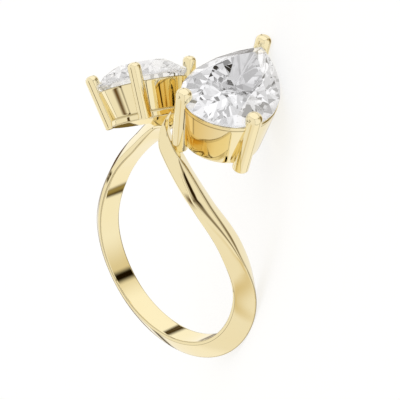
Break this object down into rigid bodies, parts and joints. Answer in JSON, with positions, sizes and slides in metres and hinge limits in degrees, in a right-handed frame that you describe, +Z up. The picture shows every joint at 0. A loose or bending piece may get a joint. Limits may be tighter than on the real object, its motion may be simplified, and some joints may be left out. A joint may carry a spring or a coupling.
{
  "type": "two-stone bypass ring",
  "caption": "Gold finger ring whose two arms pass each other at the top; one carries a round stone, the other a larger pear-shaped stone, both held by prongs.",
  "frame": {"origin": "centre of the bottom of the ring's bounding box, as it lies on its back", "axes": "+Z up from the floor; +Y from the bottom of the band towards the stones; +X completes it"},
  "size_m": [0.0186, 0.028, 0.0147],
  "materials": {
    "gold": "mirror polished yellow gold",
    "round_diamond": "clear, faceted and polished",
    "pear_diamond": "clear, faceted and polished"
  },
  "bodies": {
    "root": {"ring_metal": "gold", "round_stone": "round_diamond", "pear_stone": "pear_diamond"}
  },
  "joints": []
}
